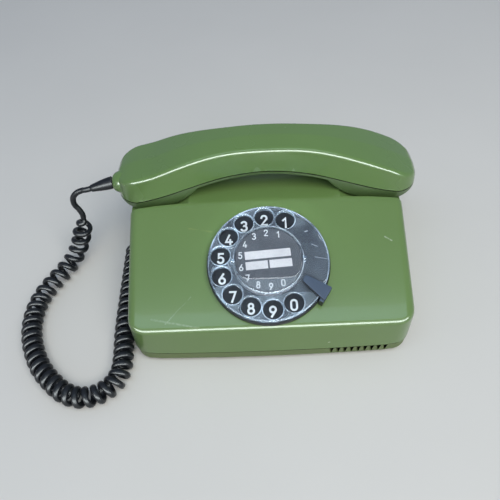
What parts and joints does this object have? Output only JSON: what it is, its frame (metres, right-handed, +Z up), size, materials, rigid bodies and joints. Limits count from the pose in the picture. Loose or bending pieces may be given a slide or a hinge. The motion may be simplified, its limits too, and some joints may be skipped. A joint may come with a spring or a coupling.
{
  "type": "rotary desk telephone",
  "caption": "Wedge-shaped desk telephone with a rotary finger dial, a two-shell handset lying in side wells on a sprung hook, bells inside, and a curly handset cord.",
  "frame": {"origin": "centre of the case's footprint, on the surface that the feet stand on", "axes": "+X to the right along the handset, +Y from the front to the back, +Z up"},
  "size_m": [0.2799, 0.21, 0.1051],
  "materials": {
    "case_green": "moulded, softly glossy olive green",
    "tray_green": "moulded, satin olive green",
    "handset_green": "moulded, glossy olive green",
    "handset_lower_green": "moulded, satin olive green",
    "foot_rubber": "dark moulded rubber",
    "zinc_steel": "zinc plated sheet and turned steel",
    "brass": "cut brass",
    "bell_steel": "plated bell steel",
    "coil_tape": "wound coil under tape",
    "iron_core": "laminated iron",
    "phenolic": "brown laminated board",
    "inner_plastic": "ivory moulding",
    "dial_black": "black moulding",
    "clear_acrylic": "clear polished moulding",
    "card_black": "dark printed card",
    "stop_grey": "dark grey moulding",
    "spring_bronze": "rolled bronze strip",
    "capsule_metal": "pressed aluminium",
    "cord_vinyl": "black vinyl"
  },
  "bodies": {
    "case": {"top_shell": "case_green", "bottom_tray": "tray_green", "case_screw_1": "zinc_steel", "case_screw_2": "zinc_steel", "case_screw_3": "zinc_steel", "case_screw_4": "zinc_steel", "foot_1": "foot_rubber", "foot_2": "foot_rubber", "foot_3": "foot_rubber", "foot_4": "foot_rubber", "number_plate": "dial_black", "finger_stop": "stop_grey", "dial_top_plate": "zinc_steel", "dial_back_plate": "zinc_steel", "governor_cup": "zinc_steel", "return_spring": "spring_bronze", "pulse_contacts": "spring_bronze", "handset_cord": "cord_vinyl", "handset_cord_gland": "cord_vinyl", "line_cord_inlet": "cord_vinyl", "hook_shaft": "zinc_steel", "hook_cheek_left": "zinc_steel", "hook_cheek_right": "zinc_steel", "ringer_yoke": "zinc_steel", "ringer_coil_left": "coil_tape", "ringer_coil_right": "coil_tape", "gong_left": "bell_steel", "gong_right": "bell_steel", "gong_post_left": "zinc_steel", "gong_post_right": "zinc_steel", "circuit_board": "phenolic", "board_post_1": "inner_plastic", "board_post_2": "inner_plastic", "speech_coil": "iron_core", "capacitor": "coil_tape"},
    "handset": {"handset_upper_shell": "handset_green", "handset_lower_shell": "handset_lower_green", "transmitter_capsule": "capsule_metal", "receiver_capsule": "capsule_metal", "handset_cord_relief": "cord_vinyl"},
    "dial": {"finger_wheel": "clear_acrylic", "card_holder": "dial_black", "number_card": "card_black", "card_cover": "clear_acrylic", "dial_shaft": "zinc_steel", "main_gear": "brass"},
    "pulse_wheel": {"pulse_wheel": "brass"},
    "governor": {"governor": "brass"},
    "hook": {"hook_lever": "inner_plastic"},
    "clapper": {"clapper": "zinc_steel"},
    "volume": {"volume_knob": "inner_plastic"}
  },
  "joints": [
    {"name": "handset_lift", "type": "slide", "parent": "case", "child": "handset", "axis": [0, 0, 1], "range_m": [0, 0.12]},
    {"name": "dial_turn", "type": "hinge", "parent": "case", "child": "dial", "pos_m": [0, -0.038, 0.05152], "axis": [0, -0.3355, 0.9421], "range_deg": [-309, 0], "stiffness_Nm_per_rad": 0.006, "springref_deg": 171.89},
    {"name": "pulse_turn", "type": "hinge", "parent": "case", "child": "pulse_wheel", "pos_m": [0.02028, -0.03809, 0.03557], "axis": [0, -0.3355, 0.9421], "range_deg": [0, 930]},
    {"name": "governor_turn", "type": "hinge", "parent": "case", "child": "governor", "pos_m": [0.02194, -0.02329, 0.04084], "axis": [0, -0.3355, 0.9421], "range_deg": [-1860, 0]},
    {"name": "hook_swing", "type": "hinge", "parent": "case", "child": "hook", "pos_m": [0, 0.0625, 0.0505], "axis": [-1, 0, 0], "range_deg": [0, 10.1]},
    {"name": "clapper_swing", "type": "hinge", "parent": "case", "child": "clapper", "pos_m": [0, 0.0188, 0.0165], "axis": [0, 0, 1], "range_deg": [-9.5, 9.5]},
    {"name": "volume_turn", "type": "hinge", "parent": "case", "child": "volume", "pos_m": [0.052, 0.012, 0.003], "axis": [0, 0, 1], "range_deg": [0, 270]}
  ],
  "couplings": [
    {"joint": "pulse_turn", "follows": "dial_turn", "ratio": -3},
    {"joint": "governor_turn", "follows": "dial_turn", "ratio": 6},
    {"joint": "hook_swing", "follows": "handset_lift", "rad_per_m": 1.4544}
  ]
}
